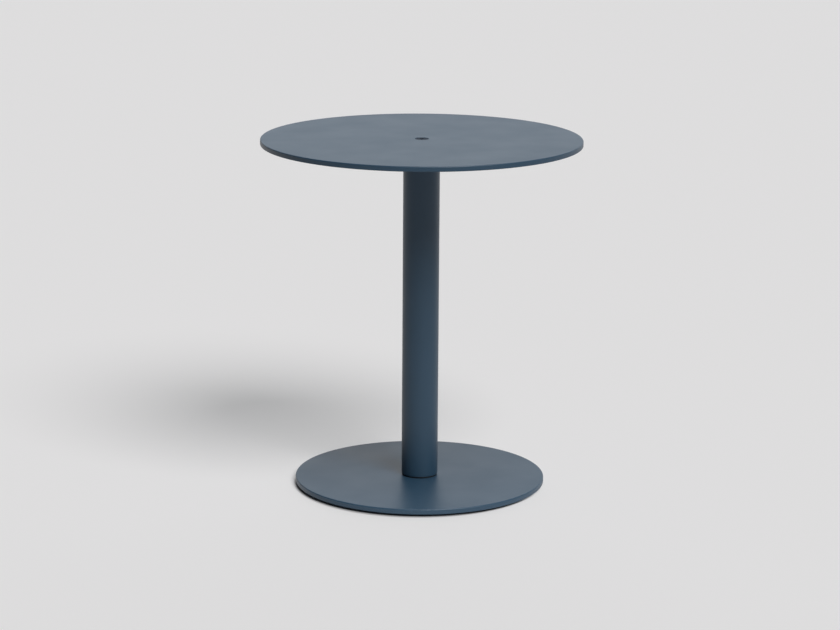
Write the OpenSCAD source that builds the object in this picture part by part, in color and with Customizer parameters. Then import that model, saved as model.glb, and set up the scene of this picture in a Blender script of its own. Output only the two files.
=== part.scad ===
// Round pedestal table: a thin round steel top on a steel tube and a thin round foot plate.
// Sizes are in millimetres. The origin is on the floor under the centre of the column, +Z up.

/* [Table] */
// Height of the table, from the floor to the upper face of the top
table_h = 551; // [401:5:751]

/* [Top] */
// Diameter of the top
top_d = 500; // [350:5:700]
// Thickness of the top
top_t = 8; // [8:0.5:15]
// Radius of the top's eased edges
top_edge_r = 1; // [0.2:0.1:3]

/* [Foot plate] */
// Diameter of the foot plate
base_d = 393; // [300:1:600]
// Thickness of the foot plate
base_t = 8; // [8:0.5:15]
// Radius of the foot plate's eased edges
base_edge_r = 1; // [0.2:0.1:3]

/* [Column] */
// Outside diameter of the tube
tube_d = 57; // [54:1:90]
// Wall of the tube
tube_wall = 2; // [1.5:0.1:3]
// Chamfer round the outside of the tube's ends
tube_chamfer = 0.4; // [0.2:0.1:1]
// Length of the plug in the tube's upper end
head_plug_l = 20; // [16:1:40]
// Length of the plug in the tube's lower end
foot_plug_l = 20; // [16:1:40]
// Chamfer that leads each plug into the tube
plug_chamfer = 1.5; // [0.5:0.1:3]

/* [Gaskets] */
// Thickness of the gasket under the top
top_gasket_t = 2; // [0.5:0.1:3]
// Thickness of the gasket on the foot plate
foot_gasket_t = 2; // [0.5:0.1:3]
// How far the gaskets' rims lie inside the outside of the tube
gasket_inset = 1; // [0:0.1:3]

/* [Top screw] */
// Thread diameter of the screw through the top
top_screw_d = 10; // [8:1:12]
// Length of the screw through the top, head included
top_screw_l = 25; // [20:1:40]
// Width across flats of its socket
top_screw_key = 6; // [4:0.5:7]
// How deep its head lies below the upper face of the top
top_screw_sink = 0.3; // [0.1:0.1:0.8]

/* [Dowels of the top] */
// Number of dowels between the top and the plug below it
dowel_count = 2; // [1:1:4]
// Diameter of a dowel
dowel_d = 5; // [3:0.5:6]
// Length of a dowel
dowel_l = 14; // [10:1:18]
// Distance from the inside of the tube to the middle of a dowel
dowel_inset = 8.5; // [6:0.5:9.5]
// Metal left in the top above a dowel's hole
dowel_cover = 3; // [2:0.5:5]

/* [Foot plate screws] */
// Number of screws from the foot plate into the plug above it
base_screw_count = 3; // [3:1:4]
// Thread diameter of these screws
base_screw_d = 8; // [5:1:8]
// Length of these screws, head included
base_screw_l = 25; // [20:1:35]
// Width across flats of their sockets
base_screw_key = 5; // [2.5:0.5:5]
// How deep their heads lie inside the under face of the foot plate
base_screw_sink = 0.3; // [0.1:0.1:0.8]
// Distance from the inside of the tube to the middle of a screw
base_screw_inset = 9.5; // [7.5:0.5:11.5]

/* [Glides] */
// Number of glides under the foot plate
glide_count = 6; // [4:1:8]
// Diameter of a glide
glide_d = 22; // [16:1:30]
// Height of the foot plate above the floor, which a glide stands out by
glide_stand = 4; // [3:0.5:6]
// Depth of the pocket that a glide sits in
glide_pocket = 2; // [1:0.5:3]
// Radius of the eased rim that slides on the floor
glide_edge_r = 0.8; // [0.2:0.1:1.5]
// Distance from the rim of the foot plate to the rim of a glide
glide_inset = 10.5; // [6:0.5:40]
// Thread diameter of a glide's screw
glide_screw_d = 4; // [3:0.5:4]
// Length of a glide's screw, head included
glide_screw_l = 8; // [7:0.5:9]
// Width across flats of its socket
glide_screw_key = 2.5; // [1.5:0.5:2.5]
// How deep its head lies above the floor
glide_screw_sink = 1.5; // [0.5:0.1:2]
// Depth left beyond a glide screw's tip in its tapped hole
glide_hole_spare = 0.6; // [0.3:0.1:1]

/* [Clearances] */
// Gap round a thread in its tapped hole
thread_gap = 0.1; // [0.05:0.05:0.2]
// Gap round a screw in the plate, gasket or glide that it clamps
clearance_gap = 0.5; // [0.3:0.1:0.8]
// Gap between a screw's head and its countersink
seat_gap = 0.05; // [0.02:0.01:0.2]
// Gap round a dowel in the top and in the plug
dowel_gap = 0.05; // [0.02:0.01:0.2]
// Gap beyond a dowel's upper end
dowel_end_gap = 0.5; // [0.2:0.1:1]
// Gap between a plug and the tube
plug_gap = 0.1; // [0.05:0.05:0.3]
// Gap round a glide in its pocket
pocket_gap = 0.1; // [0.05:0.05:0.3]

/* [Hidden] */
$fn = 128;
EPS = 0.01;

// Proportions of a countersunk socket screw, as shares of its thread diameter
HEAD_SHARP_R = 1.12;
HEAD_R = 1;
HEAD_H = 0.62;
SOCKET_DEPTH = 0.42;
TIP_CHAMFER = 0.1;
// Rise of the drill point that ends a socket or a blind hole, as a share of its radius
DRILL_POINT = 0.577;
// Share of a dowel's diameter taken by the chamfer at its ends
DOWEL_CHAMFER = 0.1;

// Heights of the stack, from the floor up
base_z = glide_stand;
foot_gasket_z = base_z + base_t;
tube_z = foot_gasket_z + foot_gasket_t;
top_z = table_h - top_t;
top_gasket_z = top_z - top_gasket_t;
tube_l = top_gasket_z - tube_z;

bore_d = tube_d - 2 * tube_wall;
plug_d = bore_d - 2 * plug_gap;
gasket_d = tube_d - 2 * gasket_inset;
dowel_circle_d = bore_d - 2 * dowel_inset;
base_screw_circle_d = bore_d - 2 * base_screw_inset;
glide_t = glide_stand + glide_pocket;
glide_circle_d = base_d - 2 * glide_inset - glide_d;

// A dowel reaches from the blind hole in the top, through the gasket, into the plug
dowel_top_z = table_h - dowel_cover - dowel_end_gap;
dowel_z = dowel_top_z - dowel_l;

coat = "#364757";
gasket_black = "#15181b";
steel_grey = "#7d8287";
screw_grey = "#4d545c";
nylon_black = "#1b1d1f";

top_dowels = [for (i = [1:dowel_count]) str("top_dowel_", i)];
base_screws = [for (i = [1:base_screw_count]) str("base_screw_", i)];
glides = [for (i = [1:glide_count]) str("glide_", i)];
glide_screws = [for (i = [1:glide_count]) str("glide_screw_", i)];

// Lower outer corner of a half section that reaches out to r and up to h, eased to a radius
module eased_corner(r, h, ease) {
    square([r - ease, h]);
    translate([0, ease]) square([r, h - ease]);
    translate([r - ease, ease]) circle(ease);
}

// A disc standing on z = 0, its two rims eased to the radii low_r and high_r
module disc(d, t, low_r, high_r) {
    rotate_extrude() {
        eased_corner(d / 2, t / 2 + EPS, low_r);
        translate([0, t]) mirror([0, 1]) eased_corner(d / 2, t / 2 + EPS, high_r);
    }
}

// Moves its children to place i of a circle with n places
module on_circle(d, n, i) {
    rotate([0, 0, 360 * (i - 1) / n]) translate([d / 2, 0, 0]) children();
}

// Puts its children on every place of a circle
module round_circle(d, n) {
    for (i = [1:n]) on_circle(d, n, i) children();
}

// A countersunk socket screw: the head's face is at z = 0 and the tip points down
module socket_screw(d, l, key) {
    head_r = HEAD_R * d;
    rim_z = -(HEAD_SHARP_R - HEAD_R) * d;
    tip = TIP_CHAMFER * d;
    depth = SOCKET_DEPTH * d;
    difference() {
        rotate_extrude() polygon([
            [0, 0], [head_r - tip / 2, 0], [head_r, -tip / 2], [head_r, rim_z],
            [d / 2, -HEAD_H * d], [d / 2, tip - l], [d / 2 - tip, -l], [0, -l]
        ]);
        translate([0, 0, -depth])
            linear_extrude(depth + EPS) circle(d = key / cos(30), $fn = 6);
        translate([0, 0, -depth - DRILL_POINT * key / 2])
            cylinder(d1 = 0, d2 = key, h = DRILL_POINT * key / 2 + EPS);
    }
}

// The hole that such a screw needs: open at z = 0, with the head lying sink below it
module screw_hole(d, sink, l) {
    mouth_r = HEAD_SHARP_R * d + seat_gap + sink;
    neck_r = d / 2 + clearance_gap;
    rotate_extrude() polygon([
        [0, EPS], [mouth_r + EPS, EPS], [mouth_r, 0], [neck_r, neck_r - mouth_r],
        [neck_r, -l], [0, -l]
    ]);
}

// A plug standing on z = 0 with its face up, chamfered below where it enters the tube
module plug(l) {
    rotate_extrude() polygon([
        [0, 0], [plug_d / 2 - plug_chamfer, 0], [plug_d / 2, plug_chamfer],
        [plug_d / 2, l], [0, l]
    ]);
}

// Round steel top with a countersunk hole and blind dowel holes from below
module table_top() {
    color(coat) translate([0, 0, top_z]) difference() {
        disc(top_d, top_t, top_edge_r, top_edge_r);
        translate([0, 0, top_t]) screw_hole(top_screw_d, top_screw_sink, top_t + EPS);
        round_circle(dowel_circle_d, dowel_count) translate([0, 0, -EPS])
            cylinder(d = dowel_d + 2 * dowel_gap, h = top_t - dowel_cover + EPS);
    }
}

// Screw that clamps the top to the plug in the column
module top_screw() {
    color(screw_grey) translate([0, 0, table_h - top_screw_sink])
        socket_screw(top_screw_d, top_screw_l, top_screw_key);
}

// Ring that keeps the coated top off the end of the tube
module top_gasket() {
    color(gasket_black) translate([0, 0, top_gasket_z]) difference() {
        cylinder(d = gasket_d, h = top_gasket_t);
        translate([0, 0, -EPS])
            cylinder(r = top_screw_d / 2 + clearance_gap, h = top_gasket_t + 2 * EPS);
        round_circle(dowel_circle_d, dowel_count) translate([0, 0, -EPS])
            cylinder(d = dowel_d + 2 * dowel_gap, h = top_gasket_t + 2 * EPS);
    }
}

// Dowel that keeps the top from turning on its screw
module top_dowel(i) {
    chamfer = DOWEL_CHAMFER * dowel_d;
    color(steel_grey) translate([0, 0, dowel_z]) on_circle(dowel_circle_d, dowel_count, i)
        rotate_extrude() polygon([
            [0, 0], [dowel_d / 2 - chamfer, 0], [dowel_d / 2, chamfer],
            [dowel_d / 2, dowel_l - chamfer], [dowel_d / 2 - chamfer, dowel_l], [0, dowel_l]
        ]);
}

// Plug welded into the tube's upper end, flush with it
module head_plug() {
    hole_top = top_gasket_z + EPS;
    color(steel_grey) difference() {
        translate([0, 0, top_gasket_z - head_plug_l]) plug(head_plug_l);
        translate([0, 0, top_gasket_z - head_plug_l - EPS])
            cylinder(r = top_screw_d / 2 + thread_gap, h = head_plug_l + 2 * EPS);
        round_circle(dowel_circle_d, dowel_count) translate([0, 0, dowel_z])
            cylinder(d = dowel_d + 2 * dowel_gap, h = hole_top - dowel_z);
    }
}

// Column, a plain round tube with chamfered ends
module column_tube() {
    color(coat) translate([0, 0, tube_z]) rotate_extrude() polygon([
        [tube_d / 2 - tube_wall, 0], [tube_d / 2 - tube_chamfer, 0],
        [tube_d / 2, tube_chamfer], [tube_d / 2, tube_l - tube_chamfer],
        [tube_d / 2 - tube_chamfer, tube_l], [tube_d / 2 - tube_wall, tube_l]
    ]);
}

// Plug welded into the tube's lower end, tapped for the foot plate's screws
module foot_plug() {
    color(steel_grey) translate([0, 0, tube_z]) difference() {
        translate([0, 0, foot_plug_l]) mirror([0, 0, 1]) plug(foot_plug_l);
        round_circle(base_screw_circle_d, base_screw_count) translate([0, 0, -EPS])
            cylinder(r = base_screw_d / 2 + thread_gap, h = foot_plug_l + 2 * EPS);
    }
}

// Ring between the tube and the foot plate, seen as a thin dark joint
module foot_gasket() {
    color(gasket_black) translate([0, 0, foot_gasket_z]) difference() {
        cylinder(d = gasket_d, h = foot_gasket_t);
        round_circle(base_screw_circle_d, base_screw_count) translate([0, 0, -EPS])
            cylinder(r = base_screw_d / 2 + clearance_gap, h = foot_gasket_t + 2 * EPS);
    }
}

// Round steel foot plate, countersunk from below, with a pocket for each glide
module base_plate() {
    tapped_h = glide_screw_sink + glide_screw_l + glide_hole_spare - base_z;
    color(coat) translate([0, 0, base_z]) difference() {
        disc(base_d, base_t, base_edge_r, base_edge_r);
        round_circle(base_screw_circle_d, base_screw_count) mirror([0, 0, 1])
            screw_hole(base_screw_d, base_screw_sink, base_t + EPS);
        round_circle(glide_circle_d, glide_count) translate([0, 0, -EPS]) {
            cylinder(d = glide_d + 2 * pocket_gap, h = glide_pocket + EPS);
            cylinder(r = glide_screw_d / 2 + thread_gap, h = tapped_h + EPS);
        }
    }
}

// Screw from below through the foot plate into the plug
module base_screw(i) {
    color(screw_grey) translate([0, 0, base_z + base_screw_sink])
        on_circle(base_screw_circle_d, base_screw_count, i)
            mirror([0, 0, 1]) socket_screw(base_screw_d, base_screw_l, base_screw_key);
}

// Nylon glide, a disc with an eased sliding rim and a countersunk hole
module glide(i) {
    color(nylon_black) on_circle(glide_circle_d, glide_count, i) difference() {
        disc(glide_d, glide_t, glide_edge_r, glide_edge_r / 2);
        mirror([0, 0, 1]) screw_hole(glide_screw_d, glide_screw_sink, glide_t + EPS);
    }
}

// Screw that holds a glide in its pocket
module glide_screw(i) {
    color(screw_grey) on_circle(glide_circle_d, glide_count, i)
        translate([0, 0, glide_screw_sink]) mirror([0, 0, 1])
            socket_screw(glide_screw_d, glide_screw_l, glide_screw_key);
}

table_top();
top_screw();
top_gasket();
head_plug();
column_tube();
foot_plug();
foot_gasket();
base_plate();
for (i = [1:dowel_count]) top_dowel(i);
for (i = [1:base_screw_count]) base_screw(i);
for (i = [1:glide_count]) glide(i);
for (i = [1:glide_count]) glide_screw(i);
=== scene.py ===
"""Dresses a packed round pedestal table: slate powder coat on steel, in a pale soft studio.

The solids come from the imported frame. The plates, tube, screws, gaskets, glides and dowels are
turned again here as finer meshes at the frame's own sizes, with eased edges, sockets and threads,
and each stands for the solid of the same place. The two plugs inside the tube keep their solids
and are only dressed.
"""

import logging
import math
from dataclasses import dataclass
from enum import Enum
from typing import Iterable, Optional, Sequence, Union

import bmesh
import bpy
from mathutils import Matrix, Vector


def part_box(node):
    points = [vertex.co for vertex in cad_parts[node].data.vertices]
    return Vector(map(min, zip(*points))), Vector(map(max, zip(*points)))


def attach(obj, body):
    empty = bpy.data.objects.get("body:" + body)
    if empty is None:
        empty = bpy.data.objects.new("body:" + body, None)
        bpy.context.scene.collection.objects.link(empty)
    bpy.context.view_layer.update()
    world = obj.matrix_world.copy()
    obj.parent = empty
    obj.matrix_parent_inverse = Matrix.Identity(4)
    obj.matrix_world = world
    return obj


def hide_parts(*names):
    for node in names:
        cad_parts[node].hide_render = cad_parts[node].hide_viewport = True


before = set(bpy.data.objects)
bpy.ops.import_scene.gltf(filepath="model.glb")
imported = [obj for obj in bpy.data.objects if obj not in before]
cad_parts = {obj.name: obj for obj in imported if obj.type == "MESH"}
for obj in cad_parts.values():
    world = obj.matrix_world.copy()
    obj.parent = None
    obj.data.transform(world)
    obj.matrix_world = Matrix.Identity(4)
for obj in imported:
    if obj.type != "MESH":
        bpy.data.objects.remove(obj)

log = logging.getLogger("pedestal_table")

Colour = tuple[float, float, float, float]

MM = 0.001
BODY = "root"
BLACK: Colour = (0.0, 0.0, 0.0, 1.0)
# Values between which a noise texture mostly stays
NOISE_LOW = 0.3
NOISE_HIGH = 0.7
# Radians that a wave texture runs through in one unit of length, at a scale of 1
WAVE_RADIANS = 20
# Radius where the cone of a countersunk head would end sharp, as a share of its thread's diameter
HEAD_SHARP_R = 1.12
# Gap between a screw's head and its countersink, and round a thread in a clamped plate
SEAT_GAP = 0.05 * MM
CLEARANCE = 0.5 * MM
# How far a cutter reaches past the face that it opens, and its steps of a full turn
OVER = 0.5 * MM
HOLE_SEGMENTS = 48
# Corners that a cut leaves this close together are one corner
SLIVER = 0.001 * MM
# Shot blasting and the coat round a plate's upper edge more than its lower one
UPPER_EASE = 1.5 * MM
LOWER_EASE = 0.9 * MM
# Faces that meet at more than this angle show a sharp edge
SHARP_ANGLE = math.radians(32)


def linear(hex_colour: str) -> Colour:
    """Turns an sRGB hex colour into Blender's linear colour.

    Args:
        hex_colour: the colour as "#rrggbb".

    Returns:
        Red, green, blue and an alpha of 1, linear.
    """
    # The sRGB curve has a straight foot and a power above it
    channels = []
    for start in (1, 3, 5):
        value = int(hex_colour[start:start + 2], 16) / 255
        low = value / 12.92
        high = ((value + 0.055) / 1.055) ** 2.4
        channels.append(low if value <= 0.04045 else high)
    return (channels[0], channels[1], channels[2], 1.0)


def add_node(
    tree: bpy.types.NodeTree, kind: str, inputs: Optional[dict] = None, **settings: object
) -> bpy.types.Node:
    """Adds a shader node with its settings, and fills or links its inputs.

    Args:
        tree: the tree that takes the node.
        kind: Blender's name of the node's type.
        inputs: a value or a socket for each named input.
        settings: properties of the node itself.

    Returns:
        The new node.
    """
    node = tree.nodes.new(kind)
    for name, value in settings.items():
        setattr(node, name, value)
    for key, value in (inputs or {}).items():
        if isinstance(value, bpy.types.NodeSocket):
            tree.links.new(value, node.inputs[key])
        else:
            node.inputs[key].default_value = value
    return node


def empty_material(name: str) -> bpy.types.Material:
    """Makes a node material with nothing in it.

    Args:
        name: the material's name.

    Returns:
        The material, with an empty tree.
    """
    material = bpy.data.materials.new(name)
    material.use_nodes = True
    material.node_tree.nodes.clear()
    return material


@dataclass(frozen=True)
class PowderCoat:
    """Polyester powder coat, sprayed on steel and stoved.

    The eye sees one even slate blue film with a satin sheen, a very fine leathery texture and
    edges where the film has drawn back into a soft round.
    """

    colour: str = "#2b4559"
    deep_colour: str = "#294357"
    roughness_low: float = 0.40
    roughness_high: float = 0.44
    ior: float = 1.5
    # The real texture is about 0.4 mm across, too fine to show, so it is drawn three times as coarse
    grain_mm: float = 1.2
    relief_mm: float = 0.012
    # Slow changes of film thickness along a sprayed face
    drift_mm: float = 70.0

    def build(self) -> bpy.types.Material:
        """Makes the coat's material, which reads Object coordinates.

        Returns:
            The material.
        """
        material = empty_material("satin_powder_coat")
        tree = material.node_tree
        spot = add_node(tree, "ShaderNodeTexCoord").outputs["Object"]
        grain = add_node(tree, "ShaderNodeTexNoise", {
            "Vector": spot, "Scale": 1 / (self.grain_mm * MM), "Detail": 3.0, "Roughness": 0.55,
        })
        drift = add_node(tree, "ShaderNodeTexNoise", {
            "Vector": spot, "Scale": 1 / (self.drift_mm * MM), "Detail": 2.0,
        })
        sheen = add_node(tree, "ShaderNodeMapRange", {
            "Value": drift.outputs["Fac"], "From Min": NOISE_LOW, "From Max": NOISE_HIGH,
            "To Min": self.roughness_low, "To Max": self.roughness_high,
        })
        colour = add_node(tree, "ShaderNodeMix", {
            "Factor": drift.outputs["Fac"], "A": linear(self.colour), "B": linear(self.deep_colour),
        }, data_type="RGBA")
        relief = add_node(tree, "ShaderNodeBump", {
            "Height": grain.outputs["Fac"], "Strength": 1.0, "Distance": self.relief_mm * MM,
        })
        shader = add_node(tree, "ShaderNodeBsdfPrincipled", {
            "Base Color": colour.outputs["Result"], "Roughness": sheen.outputs["Result"],
            "IOR": self.ior, "Normal": relief.outputs["Normal"],
        })
        add_node(tree, "ShaderNodeOutputMaterial", {"Surface": shader.outputs["BSDF"]})
        return material


@dataclass(frozen=True)
class BlackenedSteel:
    """Screw steel, blackened and lightly oiled: blue-black, with a dull metallic edge."""

    colour: str = "#222b39"
    worn_colour: str = "#435063"
    roughness_low: float = 0.60
    roughness_high: float = 0.75
    # Patches where the black has thinned, about as wide as a thread
    patch_mm: float = 1.5
    # Values of the patches' noise between which the black wears thin
    wear_from: float = 0.45
    wear_to: float = 0.75

    def build(self) -> bpy.types.Material:
        """Makes the blackened steel's material, which reads Object coordinates.

        Returns:
            The material.
        """
        material = empty_material("blackened_screw_steel")
        tree = material.node_tree
        spot = add_node(tree, "ShaderNodeTexCoord").outputs["Object"]
        patch = add_node(tree, "ShaderNodeTexNoise", {
            "Vector": spot, "Scale": 1 / (self.patch_mm * MM), "Detail": 4.0,
        })
        wear = add_node(tree, "ShaderNodeMapRange", {
            "Value": patch.outputs["Fac"], "From Min": self.wear_from, "From Max": self.wear_to,
        })
        colour = add_node(tree, "ShaderNodeMix", {
            "Factor": wear.outputs["Result"], "A": linear(self.colour), "B": linear(self.worn_colour),
        }, data_type="RGBA")
        dullness = add_node(tree, "ShaderNodeMapRange", {
            "Value": patch.outputs["Fac"], "From Min": NOISE_LOW, "From Max": NOISE_HIGH,
            "To Min": self.roughness_high, "To Max": self.roughness_low,
        })
        shader = add_node(tree, "ShaderNodeBsdfPrincipled", {
            "Base Color": colour.outputs["Result"], "Metallic": 1.0,
            "Roughness": dullness.outputs["Result"],
        })
        add_node(tree, "ShaderNodeOutputMaterial", {"Surface": shader.outputs["BSDF"]})
        return material


@dataclass(frozen=True)
class TurnedSteel:
    """Bright mild steel from the lathe: grey, with the fine rings that the tool's feed leaves."""

    colour: str = "#8d9298"
    roughness: float = 0.32
    feed_mm: float = 0.4
    relief_mm: float = 0.004

    def build(self) -> bpy.types.Material:
        """Makes the turned steel's material, its rings centred on the table's axis.

        Returns:
            The material.
        """
        material = empty_material("turned_steel")
        tree = material.node_tree
        spot = add_node(tree, "ShaderNodeTexCoord").outputs["Object"]
        rings = add_node(tree, "ShaderNodeTexWave", {
            "Vector": spot, "Scale": math.tau / WAVE_RADIANS / (self.feed_mm * MM), "Distortion": 0.0,
        }, wave_type="RINGS", rings_direction="Z")
        relief = add_node(tree, "ShaderNodeBump", {
            "Height": rings.outputs["Fac"], "Distance": self.relief_mm * MM,
        })
        shader = add_node(tree, "ShaderNodeBsdfPrincipled", {
            "Base Color": linear(self.colour), "Metallic": 1.0, "Roughness": self.roughness,
            "Normal": relief.outputs["Normal"],
        })
        add_node(tree, "ShaderNodeOutputMaterial", {"Surface": shader.outputs["BSDF"]})
        return material


@dataclass(frozen=True)
class GasketRubber:
    """EPDM sheet, punched to a ring: dull black with a faint dusty bloom."""

    colour: str = "#0e1012"
    bloom_colour: str = "#1a1c1e"
    roughness: float = 0.8
    bloom_mm: float = 6.0

    def build(self) -> bpy.types.Material:
        """Makes the rubber's material, which reads Object coordinates.

        Returns:
            The material.
        """
        material = empty_material("gasket_rubber")
        tree = material.node_tree
        spot = add_node(tree, "ShaderNodeTexCoord").outputs["Object"]
        bloom = add_node(tree, "ShaderNodeTexNoise", {
            "Vector": spot, "Scale": 1 / (self.bloom_mm * MM), "Detail": 3.0,
        })
        colour = add_node(tree, "ShaderNodeMix", {
            "Factor": bloom.outputs["Fac"], "A": linear(self.colour), "B": linear(self.bloom_colour),
        }, data_type="RGBA")
        shader = add_node(tree, "ShaderNodeBsdfPrincipled", {
            "Base Color": colour.outputs["Result"], "Roughness": self.roughness,
        })
        add_node(tree, "ShaderNodeOutputMaterial", {"Surface": shader.outputs["BSDF"]})
        return material


@dataclass(frozen=True)
class GlideNylon:
    """Black nylon, moulded: a slight sheen over a fine spark-eroded grain."""

    colour: str = "#17191b"
    roughness: float = 0.5
    grain_mm: float = 0.5
    relief_mm: float = 0.01

    def build(self) -> bpy.types.Material:
        """Makes the nylon's material, which reads Object coordinates.

        Returns:
            The material.
        """
        material = empty_material("moulded_nylon")
        tree = material.node_tree
        spot = add_node(tree, "ShaderNodeTexCoord").outputs["Object"]
        grain = add_node(tree, "ShaderNodeTexNoise", {
            "Vector": spot, "Scale": 1 / (self.grain_mm * MM), "Detail": 2.0,
        })
        relief = add_node(tree, "ShaderNodeBump", {
            "Height": grain.outputs["Fac"], "Distance": self.relief_mm * MM,
        })
        shader = add_node(tree, "ShaderNodeBsdfPrincipled", {
            "Base Color": linear(self.colour), "Roughness": self.roughness,
            "Normal": relief.outputs["Normal"],
        })
        add_node(tree, "ShaderNodeOutputMaterial", {"Surface": shader.outputs["BSDF"]})
        return material


class Slot(Enum):
    """The material slots, one for each finish."""

    COAT = "powder_coat"
    SCREW = "screw_steel"
    TURNED = "turned_steel"
    RUBBER = "gasket_rubber"
    NYLON = "glide_nylon"


class Finishes:
    """Builds each finish once and hands it out by slot."""

    def __init__(self) -> None:
        """Builds the five finishes."""
        self._materials = {
            Slot.COAT: PowderCoat().build(),
            Slot.SCREW: BlackenedSteel().build(),
            Slot.TURNED: TurnedSteel().build(),
            Slot.RUBBER: GasketRubber().build(),
            Slot.NYLON: GlideNylon().build(),
        }

    def dress(self, piece: bpy.types.Object, slot: Slot) -> None:
        """Gives a piece the finish of a slot.

        Args:
            piece: the piece to dress.
            slot: the slot whose finish it takes.
        """
        if not piece.material_slots:
            piece.data.materials.append(None)
        for held in piece.material_slots:
            held.material = self._materials[slot]


@dataclass(frozen=True)
class Corner:
    """A corner of a half section, in metres: distance from the axis, height, and easing."""

    r: float
    z: float
    ease: float = 0.0


class Lathe:
    """Turns half sections about an upright axis."""

    # Vertices of a spin this close together, in metres, are one
    WELD = 1e-7
    # How far a vertex of a wide ring may have drifted from it after a full spin
    DRIFT = 0.01 * MM
    # A ring this many easings from a corner keeps the shading of the flat beside it level
    KEEPER = 1.35

    def __init__(self, segments: int, ease_steps: int = 6) -> None:
        """Sets how finely the lathe cuts.

        Args:
            segments: steps of a full turn.
            ease_steps: steps across each eased corner.
        """
        self.segments = segments
        self.ease_steps = ease_steps

    def _section(self, corners: Sequence[Corner], closed: bool) -> list[tuple[float, float]]:
        """Lists the section's points, with a keeper point on each side of an eased corner.

        Args:
            corners: the section's corners in order.
            closed: whether the last corner joins the first.

        Returns:
            Pairs of distance from the axis and height.
        """
        points: list[tuple[float, float]] = []
        followers = list(corners[1:]) + ([corners[0]] if closed else [])
        for here, there in zip(corners, followers):
            run = math.hypot(there.r - here.r, there.z - here.z)
            points.append((here.r, here.z))
            for distance in (here.ease * self.KEEPER, run - there.ease * self.KEEPER):
                if 0 < distance < run and run > (here.ease + there.ease) * 2 * self.KEEPER:
                    share = distance / run
                    points.append((
                        here.r + (there.r - here.r) * share, here.z + (there.z - here.z) * share,
                    ))
        if not closed:
            points.append((corners[-1].r, corners[-1].z))
        return points

    def _ease(self, bm: bmesh.types.BMesh, corner: Corner) -> None:
        """Rounds the ring of edges that a corner of the section left.

        Args:
            bm: the turned mesh.
            corner: the corner to ease.
        """
        def on_ring(vert: bmesh.types.BMVert) -> bool:
            """Returns whether a vertex lies on the corner's ring."""
            radius = math.hypot(vert.co.x, vert.co.y)
            return abs(radius - corner.r) < self.DRIFT and abs(vert.co.z - corner.z) < self.DRIFT

        ring = [e for e in bm.edges if on_ring(e.verts[0]) and on_ring(e.verts[1])]
        bmesh.ops.bevel(
            bm, geom=ring, offset=corner.ease, offset_type="OFFSET", segments=self.ease_steps,
            profile=0.5, affect="EDGES", material=-1, clamp_overlap=True,
        )

    def turn(
        self, name: str, corners: Sequence[Corner], at: Sequence[float] = (0, 0, 0), closed: bool = False
    ) -> bpy.types.Object:
        """Turns a half section into a closed solid.

        Args:
            name: the new piece's name.
            corners: the section's corners, from the axis round to the axis unless it is closed.
            at: where the axis stands, added to every point.
            closed: whether the section is a loop clear of the axis, as a tube's is.

        Returns:
            The new object, at the origin, with its place in its mesh.
        """
        bm = bmesh.new()
        verts = [bm.verts.new((r, 0, z)) for r, z in self._section(corners, closed)]
        pairs = list(zip(verts, verts[1:])) + ([(verts[-1], verts[0])] if closed else [])
        edges = [bm.edges.new(pair) for pair in pairs]
        bmesh.ops.spin(
            bm, geom=verts + edges, cent=(0, 0, 0), axis=(0, 0, 1), angle=math.tau,
            steps=self.segments, use_merge=True, use_duplicate=False,
        )
        bmesh.ops.remove_doubles(bm, verts=bm.verts, dist=self.WELD)
        for corner in corners:
            if corner.ease > 0:
                self._ease(bm, corner)
        bmesh.ops.recalc_face_normals(bm, faces=bm.faces)
        bmesh.ops.translate(bm, verts=bm.verts, vec=at)
        return make_object(name, bm)


def make_object(name: str, bm: bmesh.types.BMesh) -> bpy.types.Object:
    """Makes an object of a mesh.

    Args:
        name: the object's name.
        bm: the mesh, which is freed.

    Returns:
        The new object, linked to the scene.
    """
    mesh = bpy.data.meshes.new(name)
    bm.to_mesh(mesh)
    bm.free()
    shade(mesh)
    piece = bpy.data.objects.new(name, mesh)
    bpy.context.scene.collection.objects.link(piece)
    return piece


def shade(mesh: bpy.types.Mesh) -> None:
    """Shades a mesh smooth but for its sharp corners.

    Args:
        mesh: the mesh.
    """
    mesh.shade_smooth()
    mesh.set_sharp_from_angle(angle=SHARP_ANGLE)


def disc(
    radius: float, low: float, high: float, lower_ease: float = 0.0, upper_ease: float = 0.0
) -> list[Corner]:
    """Lists the half section of a disc or a pin.

    Args:
        radius: its radius.
        low: height of its under face.
        high: height of its upper face.
        lower_ease: easing of its lower edge.
        upper_ease: easing of its upper edge.

    Returns:
        The corners, from the axis round to the axis.
    """
    return [
        Corner(0, low), Corner(radius, low, lower_ease),
        Corner(radius, high, upper_ease), Corner(0, high),
    ]


def bore(at: Vector, radius: float, low: float, high: float) -> bpy.types.Object:
    """Makes the cutter for a plain round hole.

    Args:
        at: where its axis stands.
        radius: the hole's radius.
        low: height where the cutter starts.
        high: height where it ends.

    Returns:
        The cutter.
    """
    return Lathe(HOLE_SEGMENTS).turn("bore", disc(radius, low, high), at)


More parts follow.
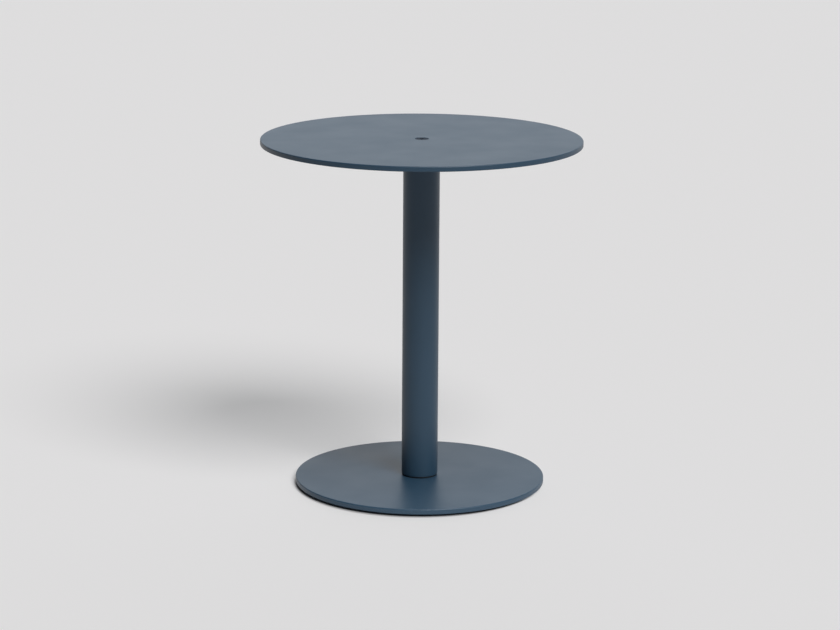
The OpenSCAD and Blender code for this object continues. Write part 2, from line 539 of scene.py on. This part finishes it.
def drill(piece: bpy.types.Object, cutters: Iterable[bpy.types.Object]) -> None:
    """Cuts the shapes of the cutters out of a piece and throws the cutters away.

    Args:
        piece: the piece to drill.
        cutters: closed solids, clear of each other.
    """
    cutters = list(cutters)
    for cutter in cutters:
        cut = piece.modifiers.new("hole", "BOOLEAN")
        cut.operation = "DIFFERENCE"
        cut.solver = "EXACT"
        cut.object = cutter
    bpy.context.view_layer.update()
    graph = bpy.context.evaluated_depsgraph_get()
    mesh = bpy.data.meshes.new_from_object(piece.evaluated_get(graph))
    bm = bmesh.new()
    bm.from_mesh(mesh)
    bmesh.ops.remove_doubles(bm, verts=bm.verts, dist=SLIVER)
    bmesh.ops.recalc_face_normals(bm, faces=bm.faces)
    bm.to_mesh(mesh)
    bm.free()
    shade(mesh)
    old = piece.data
    piece.modifiers.clear()
    piece.data = mesh
    mesh.name = piece.name
    bpy.data.meshes.remove(old)
    for cutter in cutters:
        bpy.data.meshes.remove(cutter.data)


def place(piece: bpy.types.Object, node: str, slot: Slot, finishes: Finishes) -> None:
    """Dresses a new piece and lets it stand for the solid of the same place.

    Args:
        piece: the new piece.
        node: the solid's node.
        slot: the slot of its finish.
        finishes: the built finishes.
    """
    finishes.dress(piece, slot)
    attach(piece, BODY)
    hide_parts(node)
    log.info("%s stands for %s, %d faces", piece.name, node, len(piece.data.polygons))


class Seat:
    """The place that a node fills in the frame."""

    def __init__(self, node: str) -> None:
        """Reads a node's box, the foot of its upright axis and half its width.

        Args:
            node: the node's name.
        """
        self.low, self.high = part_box(node)
        middle = (self.low + self.high) / 2
        self.axis = Vector((middle.x, middle.y, 0))
        self.radius = (self.high.x - self.low.x) / 2


class Thread(Enum):
    """The metric threads of the countersunk screws: diameter, pitch and hexagon key in millimetres."""

    M4 = (4.0, 0.7, 2.5)
    M8 = (8.0, 1.25, 5.0)
    M10 = (10.0, 1.5, 6.0)

    def __init__(self, d_mm: float, pitch_mm: float, key_mm: float) -> None:
        """Works out what follows from a thread's sizes, in metres.

        Args:
            d_mm: the thread's outer diameter.
            pitch_mm: its pitch.
            key_mm: width across the flats of the key that turns the screw.
        """
        self.d = d_mm * MM
        self.pitch = pitch_mm * MM
        self.key = key_mm * MM
        self.sharp_r = HEAD_SHARP_R * self.d
        self.hole_r = self.d / 2 + CLEARANCE

    def mouth_r(self, sink: float) -> float:
        """Works out the radius of a countersink where it opens.

        Args:
            sink: how deep the head lies below the face.

        Returns:
            The radius in metres.
        """
        return self.sharp_r + SEAT_GAP + sink


@dataclass
class SocketScrew:
    """A countersunk socket screw with a rolled thread, modelled with its head up."""

    node: str
    name: str
    thread: Thread
    head_up: bool
    segments: int = 48
    rings_per_turn: int = 8
    # Shares of the thread's diameter
    head_h: float = 0.62
    socket_depth: float = 0.42
    tip_chamfer: float = 0.1
    rim_ease: float = 1 / 30
    # Depth of the thread, as a share of its pitch
    thread_depth: float = 0.54
    # Depth of the drill point in the socket, as a share of the key's width
    point_depth: float = 0.28

    def _cut_thread(self, bm: bmesh.types.BMesh, low: float, high: float) -> None:
        """Cuts the thread into the shank by drawing its rings in along a helix.

        Args:
            bm: the screw, its tip at the bottom.
            low: height where the thread starts.
            high: height where it runs out.
        """
        pitch = self.thread.pitch
        for vert in bm.verts:
            radius = math.hypot(vert.co.x, vert.co.y)
            if not low < vert.co.z < high or radius < self.thread.d / 2 - Lathe.DRIFT:
                continue
            turn = math.atan2(vert.co.y, vert.co.x) / math.tau
            phase = (vert.co.z / pitch - turn) % 1.0
            run_out = min(1.0, (high - vert.co.z) / pitch, (vert.co.z - low) / pitch)
            groove = self.thread_depth * pitch * (1 - abs(2 * phase - 1)) * run_out
            vert.co.x *= (radius - groove) / radius
            vert.co.y *= (radius - groove) / radius

    def _socket(self) -> bpy.types.Object:
        """Makes the cutter for the hexagon socket, with a drill point at its bottom.

        Returns:
            The cutter, its mouth just above the head.
        """
        depth = self.socket_depth * self.thread.d
        corner_r = self.thread.key / math.sqrt(3)
        bm = bmesh.new()
        bmesh.ops.create_circle(
            bm, cap_ends=True, radius=corner_r, segments=6, matrix=Matrix.Translation((0, 0, OVER))
        )
        walls = bmesh.ops.extrude_face_region(bm, geom=list(bm.faces))
        floor = [part for part in walls["geom"] if isinstance(part, bmesh.types.BMVert)]
        bmesh.ops.translate(bm, verts=floor, vec=(0, 0, -OVER - depth))
        point = bmesh.ops.poke(bm, faces=[f for f in bm.faces if all(v in floor for v in f.verts)])
        bmesh.ops.translate(bm, verts=point["verts"], vec=(0, 0, -self.thread.key * self.point_depth))
        bmesh.ops.recalc_face_normals(bm, faces=bm.faces)
        return make_object("socket_cutter", bm)

    def build(self, finishes: Finishes) -> None:
        """Builds the screw at its node's place.

        Args:
            finishes: the built finishes.
        """
        seat = Seat(self.node)
        d = self.thread.d
        length = seat.high.z - seat.low.z
        tip = self.tip_chamfer * d
        neck = -self.head_h * d
        rows = round((length + neck - tip) / self.thread.pitch * self.rings_per_turn)
        step = (length + neck - tip) / rows
        shank = [Corner(d / 2, neck - step * row) for row in range(rows + 1)]
        screw = Lathe(self.segments, ease_steps=3).turn(self.name, [
            Corner(0, 0), Corner(seat.radius, 0, self.rim_ease * d),
            Corner(seat.radius, seat.radius - self.thread.sharp_r), *shank,
            Corner(d / 2 - tip, -length), Corner(0, -length),
        ])
        bm = bmesh.new()
        bm.from_mesh(screw.data)
        self._cut_thread(bm, tip - length, neck - self.thread.pitch)
        bm.to_mesh(screw.data)
        bm.free()
        drill(screw, [self._socket()])
        head_z = seat.high.z if self.head_up else seat.low.z
        turned = Matrix.Identity(4) if self.head_up else Matrix.Rotation(math.pi, 4, "X")
        screw.data.transform(Matrix.Translation((seat.axis.x, seat.axis.y, head_z)) @ turned)
        place(screw, self.node, Slot.SCREW, finishes)


@dataclass
class Gasket:
    """A clamped ring of sheet rubber, its rim squeezed a little round."""

    node: str
    name: str
    # Centre and radius of each hole
    holes: Sequence[tuple[Vector, float]]
    # Easing of the rim, as a share of the thickness
    squeeze: float = 0.3
    segments: int = 96

    def build(self, finishes: Finishes) -> None:
        """Turns the ring and punches its holes.

        Args:
            finishes: the built finishes.
        """
        seat = Seat(self.node)
        low, high = seat.low.z, seat.high.z
        ease = (high - low) * self.squeeze
        ring = Lathe(self.segments).turn(self.name, disc(seat.high.x, low, high, ease, ease))
        drill(ring, [bore(at, radius, low - OVER, high + OVER) for at, radius in self.holes])
        place(ring, self.node, Slot.RUBBER, finishes)


@dataclass
class TableTop:
    """The top: a thin round plate, its centre screw, the gasket below it and two dowels."""

    plate_node: str = "table_top"
    screw_node: str = "top_screw"
    gasket_node: str = "top_gasket"
    dowel_nodes: tuple[str, ...] = ("top_dowel_1", "top_dowel_2")
    thread: Thread = Thread.M10
    upper_ease: float = UPPER_EASE
    lower_ease: float = LOWER_EASE
    mouth_ease: float = 0.25 * MM
    dowel_ease: float = 0.5 * MM
    # Gap round a dowel, and above it in its blind hole
    dowel_fit: float = 0.05 * MM
    dowel_end_gap: float = 0.5 * MM
    segments: int = 256
    dowel_segments: int = 40

    def build(self, finishes: Finishes) -> None:
        """Builds the top's pieces.

        Args:
            finishes: the built finishes.
        """
        seat = Seat(self.plate_node)
        radius, low, high = seat.high.x, seat.low.z, seat.high.z
        neck_r = self.thread.hole_r
        mouth_r = self.thread.mouth_r(high - Seat(self.screw_node).high.z)
        plate = Lathe(self.segments).turn("top_plate", [
            Corner(neck_r, low), Corner(radius, low, self.lower_ease),
            Corner(radius, high, self.upper_ease), Corner(mouth_r, high, self.mouth_ease),
            Corner(neck_r, high - (mouth_r - neck_r)),
        ], closed=True)
        pins = [Seat(node) for node in self.dowel_nodes]
        drill(plate, [
            bore(pin.axis, pin.radius + self.dowel_fit, low - OVER, pin.high.z + self.dowel_end_gap)
            for pin in pins
        ])
        place(plate, self.plate_node, Slot.COAT, finishes)
        SocketScrew(self.screw_node, "centre_screw", self.thread, head_up=True).build(finishes)
        for number, node in enumerate(self.dowel_nodes, 1):
            self._dowel(node, f"dowel_pin_{number}", finishes)
        holes = [(Vector(), neck_r)] + [(pin.axis, pin.radius + self.dowel_fit) for pin in pins]
        Gasket(self.gasket_node, "upper_gasket", holes).build(finishes)

    def _dowel(self, node: str, name: str, finishes: Finishes) -> None:
        """Turns a dowel pin with rounded ends.

        Args:
            node: the dowel's node.
            name: the new piece's name.
            finishes: the built finishes.
        """
        seat = Seat(node)
        pin = Lathe(self.dowel_segments).turn(
            name, disc(seat.radius, seat.low.z, seat.high.z, self.dowel_ease, self.dowel_ease), seat.axis
        )
        place(pin, node, Slot.TURNED, finishes)


@dataclass
class Column:
    """The column: a round tube and the turned plugs welded into its ends."""

    tube_node: str = "column_tube"
    plug_nodes: tuple[str, ...] = ("head_plug", "foot_plug")
    wall: float = 2.0 * MM
    end_chamfer: float = 1.0 * MM
    segments: int = 128

    def build(self, finishes: Finishes) -> None:
        """Builds the tube, and dresses the plugs, which keep their solids.

        Args:
            finishes: the built finishes.
        """
        seat = Seat(self.tube_node)
        outer_r, low, high = seat.high.x, seat.low.z, seat.high.z
        bore_r = outer_r - self.wall
        tube = Lathe(self.segments, ease_steps=1).turn("column", [
            Corner(bore_r, low), Corner(outer_r, low, self.end_chamfer),
            Corner(outer_r, high, self.end_chamfer), Corner(bore_r, high),
        ], closed=True)
        place(tube, self.tube_node, Slot.COAT, finishes)
        for node in self.plug_nodes:
            finishes.dress(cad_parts[node], Slot.TURNED)
            log.info("%s keeps its solid", node)


@dataclass
class Foot:
    """The foot: a round plate with screws and glides below it and a gasket above."""

    plate_node: str = "base_plate"
    gasket_node: str = "foot_gasket"
    screw_nodes: tuple[str, ...] = ("base_screw_1", "base_screw_2", "base_screw_3")
    glide_nodes: tuple[str, ...] = tuple(f"glide_{n}" for n in range(1, 7))
    glide_screw_nodes: tuple[str, ...] = tuple(f"glide_screw_{n}" for n in range(1, 7))
    thread: Thread = Thread.M8
    glide_thread: Thread = Thread.M4
    upper_ease: float = UPPER_EASE
    lower_ease: float = LOWER_EASE
    # Easing of a glide's sliding face, of its seat in the pocket and of its countersink
    glide_ease: float = 0.8 * MM
    glide_seat_ease: float = 0.4 * MM
    glide_mouth_ease: float = 0.2 * MM
    pocket_depth: float = 2.0 * MM
    pocket_gap: float = 0.1 * MM
    # The glide screw's tapped hole in the plate, its depth from the plate's under face
    tapped_r: float = 2.1 * MM
    tapped_depth: float = 6.1 * MM
    segments: int = 224
    pocket_segments: int = 64
    glide_segments: int = 72
    glide_screw_segments: int = 32

    def build(self, finishes: Finishes) -> None:
        """Builds the foot's pieces.

        Args:
            finishes: the built finishes.
        """
        seat = Seat(self.plate_node)
        low, high = seat.low.z, seat.high.z
        plate = Lathe(self.segments).turn(
            "foot_plate", disc(seat.high.x, low, high, self.lower_ease, self.upper_ease)
        )
        cutters = [self._screw_hole(node, low, high) for node in self.screw_nodes]
        cutters += [self._pocket(node, low) for node in self.glide_nodes]
        drill(plate, cutters)
        place(plate, self.plate_node, Slot.COAT, finishes)
        for number, node in enumerate(self.screw_nodes, 1):
            SocketScrew(node, f"plate_screw_{number}", self.thread, head_up=False).build(finishes)
        holes = [(Seat(node).axis, self.thread.hole_r) for node in self.screw_nodes]
        Gasket(self.gasket_node, "lower_gasket", holes).build(finishes)
        for number, (glide, screw) in enumerate(zip(self.glide_nodes, self.glide_screw_nodes), 1):
            self._glide(glide, screw, f"glide_disc_{number}", finishes)
            SocketScrew(
                screw, f"glide_fixing_{number}", self.glide_thread, head_up=False,
                segments=self.glide_screw_segments,
            ).build(finishes)

    def _screw_hole(self, node: str, under_z: float, upper_z: float) -> bpy.types.Object:
        """Makes the cutter for a countersunk hole from below.

        Args:
            node: the screw's node.
            under_z: height of the plate's under face.
            upper_z: height of its upper face.

        Returns:
            The cutter.
        """
        seat = Seat(node)
        mouth_r = self.thread.mouth_r(seat.low.z - under_z)
        neck_r = self.thread.hole_r
        return Lathe(HOLE_SEGMENTS).turn("screw_hole", [
            Corner(0, under_z - OVER), Corner(mouth_r + OVER, under_z - OVER),
            Corner(neck_r, under_z + mouth_r - neck_r), Corner(neck_r, upper_z + OVER),
            Corner(0, upper_z + OVER),
        ], seat.axis)

    def _pocket(self, node: str, under_z: float) -> bpy.types.Object:
        """Makes the cutter for a glide's pocket and the tapped hole in its floor.

        Args:
            node: the glide's node.
            under_z: height of the plate's under face.

        Returns:
            The cutter.
        """
        seat = Seat(node)
        radius = seat.radius + self.pocket_gap
        pocket_z = under_z + self.pocket_depth
        tapped_z = under_z + self.tapped_depth
        return Lathe(self.pocket_segments).turn("glide_pocket", [
            Corner(0, under_z - OVER), Corner(radius, under_z - OVER), Corner(radius, pocket_z),
            Corner(self.tapped_r, pocket_z), Corner(self.tapped_r, tapped_z), Corner(0, tapped_z),
        ], seat.axis)

    def _glide(self, node: str, screw_node: str, name: str, finishes: Finishes) -> None:
        """Turns a glide, a disc with an eased sliding face and a deep countersink.

        Args:
            node: the glide's node.
            screw_node: the node of the screw in it.
            name: the new piece's name.
            finishes: the built finishes.
        """
        seat = Seat(node)
        low, high = seat.low.z, seat.high.z
        mouth_r = self.glide_thread.mouth_r(Seat(screw_node).low.z - low)
        neck_r = self.glide_thread.hole_r
        glide = Lathe(self.glide_segments).turn(name, [
            Corner(mouth_r, low, self.glide_mouth_ease), Corner(seat.radius, low, self.glide_ease),
            Corner(seat.radius, high, self.glide_seat_ease), Corner(neck_r, high),
            Corner(neck_r, low + mouth_r - neck_r),
        ], seat.axis, closed=True)
        place(glide, node, Slot.NYLON, finishes)


@dataclass(frozen=True)
class StudioPaper:
    """The paper sweep that the table stands on, pale and quite matt.

    Where it is seen, straight or in a reflection, it has the even tone of a finished product
    picture, and only the key light throws a shadow on it. Its glow stands in for fill light and is cut
    off in a disc beneath the foot plate, a painted shadow. Where it only lights the table, the glow is a
    painted pool of light round the table and is nearly dark further away.
    """

    seen_colour: str = "#cfcdcd"
    fill_colour: str = "#dddddd"
    seen_fill: float = 0.47
    bounce_colour: str = "#f0f0f0"
    bounce_fill: float = 0.65
    # The painted pool of light on the floor, towards the key light, and the share of it left far away
    pool_at: tuple[float, float, float] = (0.3, -0.2, 0.0)
    pool_inner: float = 0.4
    pool_outer: float = 1.0
    far_share: float = 0.05
    # Painted shadow: the floor's glow, which stands in for fill light, is cut off beneath the foot
    # plate.
    # The dark disc lies a little to the front left, as if the fill came from behind and from the right.
    shadow_disc_at: tuple[float, float, float] = (-0.005, -0.006, 0.0)
    shadow_disc_from: float = 0.190
    shadow_disc_to: float = 0.195

    def _lit(
        self, tree: bpy.types.NodeTree, tone: Union[Colour, bpy.types.NodeSocket],
        glow: Union[Colour, bpy.types.NodeSocket], strength: bpy.types.NodeSocket,
    ) -> bpy.types.Node:
        """Adds matt paper with an even fill light.

        Args:
            tree: the material's tree.
            tone: the paper's colour, or the socket that gives it.
            glow: the fill light's colour, or the socket that gives it.
            strength: the socket that gives the fill light's strength.

        Returns:
            The shader node that adds the two up.
        """
        matt = add_node(tree, "ShaderNodeBsdfDiffuse", {"Color": tone})
        light = add_node(tree, "ShaderNodeEmission", {"Color": glow, "Strength": strength})
        return add_node(tree, "ShaderNodeAddShader", {
            0: matt.outputs["BSDF"], 1: light.outputs["Emission"],
        })

    def _pooled(
        self, tree: bpy.types.NodeTree, colour: str, share: bpy.types.NodeSocket
    ) -> bpy.types.NodeSocket:
        """Adds a colour that fades to black outside the pool of light.

        Args:
            tree: the material's tree.
            colour: the colour in the pool.
            share: the socket that gives what is left of it at a spot.

        Returns:
            The socket that gives the faded colour.
        """
        return add_node(tree, "ShaderNodeMix", {
            "Factor": share, "A": BLACK, "B": linear(colour),
        }, data_type="RGBA").outputs["Result"]

    def build(self) -> bpy.types.Material:
        """Makes the paper's material, which reads Object coordinates, in metres from the table.

        Returns:
            The material.
        """
        material = empty_material("studio_paper")
        tree = material.node_tree
        spot = add_node(tree, "ShaderNodeTexCoord").outputs["Object"]
        away = add_node(tree, "ShaderNodeVectorMath", {
            0: spot, 1: self.shadow_disc_at,
        }, operation="DISTANCE").outputs["Value"]
        path = add_node(tree, "ShaderNodeLightPath")
        # Painted fill light, cut off in a disc beneath the foot plate as a painted shadow
        seen_glow, bounce_glow = [
            add_node(tree, "ShaderNodeMapRange", {
                "Value": away, "From Min": self.shadow_disc_from, "From Max": self.shadow_disc_to, "To Max": fill,
            }).outputs["Result"]
            for fill in (self.seen_fill, self.bounce_fill)
        ]
        from_pool = add_node(tree, "ShaderNodeVectorMath", {
            0: spot, 1: self.pool_at,
        }, operation="DISTANCE").outputs["Value"]
        # Painted pool of light round the table, for the rays that only light it
        pool = add_node(tree, "ShaderNodeMapRange", {
            "Value": from_pool, "From Min": self.pool_inner, "From Max": self.pool_outer,
            "To Min": 1.0, "To Max": self.far_share,
        }).outputs["Result"]
        seen = self._lit(tree, linear(self.seen_colour), linear(self.fill_colour), seen_glow)
        bounce = self._lit(
            tree, self._pooled(tree, self.bounce_colour, pool),
            self._pooled(tree, self.fill_colour, pool), bounce_glow,
        )
        direct = add_node(tree, "ShaderNodeMath", {
            0: path.outputs["Is Camera Ray"], 1: path.outputs["Is Glossy Ray"],
        }, operation="MAXIMUM")
        shown = add_node(tree, "ShaderNodeMath", {
            0: direct.outputs["Value"], 1: path.outputs["Is Transmission Ray"],
        }, operation="MAXIMUM")
        either = add_node(tree, "ShaderNodeMixShader", {
            0: shown.outputs["Value"], 1: bounce.outputs["Shader"], 2: seen.outputs["Shader"],
        })
        add_node(tree, "ShaderNodeOutputMaterial", {"Surface": either.outputs["Shader"]})
        return material


@dataclass(frozen=True)
class Softbox:
    """A soft lamp far off, given by the light that it throws on a level face.

    Level light 1 shows a white face at full white. The azimuth, the elevation and the width that
    the lamp fills in the sky are in degrees.
    """

    name: str
    level_light: float
    azimuth: float
    elevation: float
    width: float

    def hang(self) -> bpy.types.Object:
        """Hangs the lamp, turned towards the table.

        Returns:
            The lamp.
        """
        data = bpy.data.lights.new(self.name, "SUN")
        data.angle = math.radians(self.width)
        data.energy = self.level_light * math.pi / math.sin(math.radians(self.elevation))
        lamp = bpy.data.objects.new(self.name, data)
        bpy.context.scene.collection.objects.link(lamp)
        around = Matrix.Rotation(math.radians(self.azimuth), 4, "Z")
        tilt = Matrix.Rotation(math.radians(90 - self.elevation), 4, "Y")
        lamp.matrix_world = around @ tilt
        return lamp


@dataclass
class Studio:
    """A pale seamless floor, a soft key light, a soft top light and a room with a pale back."""

    floor_half: float = 60.0
    key: Softbox = Softbox("key", 0.50, -58.0, 45.5, 30.4)
    top_light: Softbox = Softbox("top_light", 0.42, -60.0, 70.0, 30.0)
    # The room is nearly dark but for a pale wall behind the table
    room_even: float = 0.04
    wall_glow: float = 0.93
    wall_colour: str = "#f5faff"
    wall_azimuth: float = 80.0
    # Cosines of the turn away from the wall's middle between which its light comes up
    side_from: float = 0.5
    side_to: float = 0.85
    # Sines of the height at which its light starts and ends to fade
    rise_from: float = 0.55
    rise_to: float = 0.98
    # The camera that fits the outlines in the photograph: place in metres, turns in degrees
    camera_at: tuple[float, float, float] = (-0.0038, -4.3498, 1.2747)
    camera_pitch: float = -12.995
    camera_roll: float = 0.395
    camera_yaw: float = -0.038
    lens_mm: float = 121.93
    sensor_mm: float = 36.0
    view_reach: float = 200.0

    def build(self) -> None:
        """Builds the camera, the floor and the lights."""
        self._camera()
        floor = self._floor()
        self.key.hang()
        self._spare(self.top_light.hang(), floor)
        self._world()

    def _camera(self) -> None:
        """Puts the camera where the photograph was taken from."""
        data = bpy.data.cameras.new("camera")
        data.lens = self.lens_mm
        data.sensor_width = self.sensor_mm
        data.clip_end = self.view_reach
        camera = bpy.data.objects.new("camera", data)
        bpy.context.scene.collection.objects.link(camera)
        upright = Matrix.Rotation(math.radians(90 + self.camera_pitch), 4, "X")
        yaw = Matrix.Rotation(math.radians(self.camera_yaw), 4, "Z")
        roll = Matrix.Rotation(math.radians(self.camera_roll), 4, "Z")
        camera.matrix_world = Matrix.Translation(self.camera_at) @ yaw @ upright @ roll
        bpy.context.scene.camera = camera

    def _floor(self) -> bpy.types.Object:
        """Lays the floor, one pale sheet that reaches past the horizon.

        Returns:
            The floor.
        """
        bm = bmesh.new()
        bmesh.ops.create_grid(bm, x_segments=1, y_segments=1, size=self.floor_half)
        floor = make_object("studio_floor", bm)
        floor.data.materials.append(StudioPaper().build())
        return floor

    def _spare(self, lamp: bpy.types.Object, floor: bpy.types.Object) -> None:
        """Keeps a lamp's light off the floor, which shows the key light's shadow alone.

        Args:
            lamp: the lamp.
            floor: the floor that it leaves out.
        """
        left_out = bpy.data.collections.new("left_out_by_" + lamp.name)
        left_out.objects.link(floor)
        left_out.collection_objects[0].light_linking.link_state = "EXCLUDE"
        lamp.light_linking.receiver_collection = left_out

    def _world(self) -> None:
        """Fills the room with a faint even light, and puts the pale wall behind the table."""
        world = bpy.data.worlds.new("studio")
        world.use_nodes = True
        tree = world.node_tree
        tree.nodes.clear()
        ahead = add_node(tree, "ShaderNodeTexCoord").outputs["Generated"]
        rise = add_node(tree, "ShaderNodeSeparateXYZ", {0: ahead}).outputs["Z"]
        azimuth = math.radians(self.wall_azimuth)
        facing = add_node(tree, "ShaderNodeVectorMath", {
            0: ahead, 1: (math.cos(azimuth), math.sin(azimuth), 0.0),
        }, operation="DOT_PRODUCT")
        across = add_node(tree, "ShaderNodeMapRange", {
            "Value": facing.outputs["Value"], "From Min": self.side_from, "From Max": self.side_to,
        }, interpolation_type="SMOOTHSTEP")
        upward = add_node(tree, "ShaderNodeMapRange", {
            "Value": rise, "From Min": self.rise_from, "From Max": self.rise_to,
            "To Min": self.wall_glow, "To Max": 0.0,
        }, interpolation_type="SMOOTHSTEP")
        strength = add_node(tree, "ShaderNodeMath", {
            0: across.outputs["Result"], 1: upward.outputs["Result"], 2: self.room_even,
        }, operation="MULTIPLY_ADD")
        room = add_node(tree, "ShaderNodeBackground", {
            "Color": linear(self.wall_colour), "Strength": strength.outputs["Value"],
        })
        add_node(tree, "ShaderNodeOutputWorld", {"Surface": room.outputs["Background"]})
        bpy.context.scene.world = world


def main() -> None:
    """Builds the studio and the table."""
    logging.basicConfig(level=logging.INFO, format="%(name)s: %(message)s")
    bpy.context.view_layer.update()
    bpy.context.scene.view_settings.view_transform = "Standard"
    Studio().build()
    finishes = Finishes()
    TableTop().build(finishes)
    Column().build(finishes)
    Foot().build(finishes)
    bpy.context.view_layer.update()


if __name__ == "__main__":
    main()
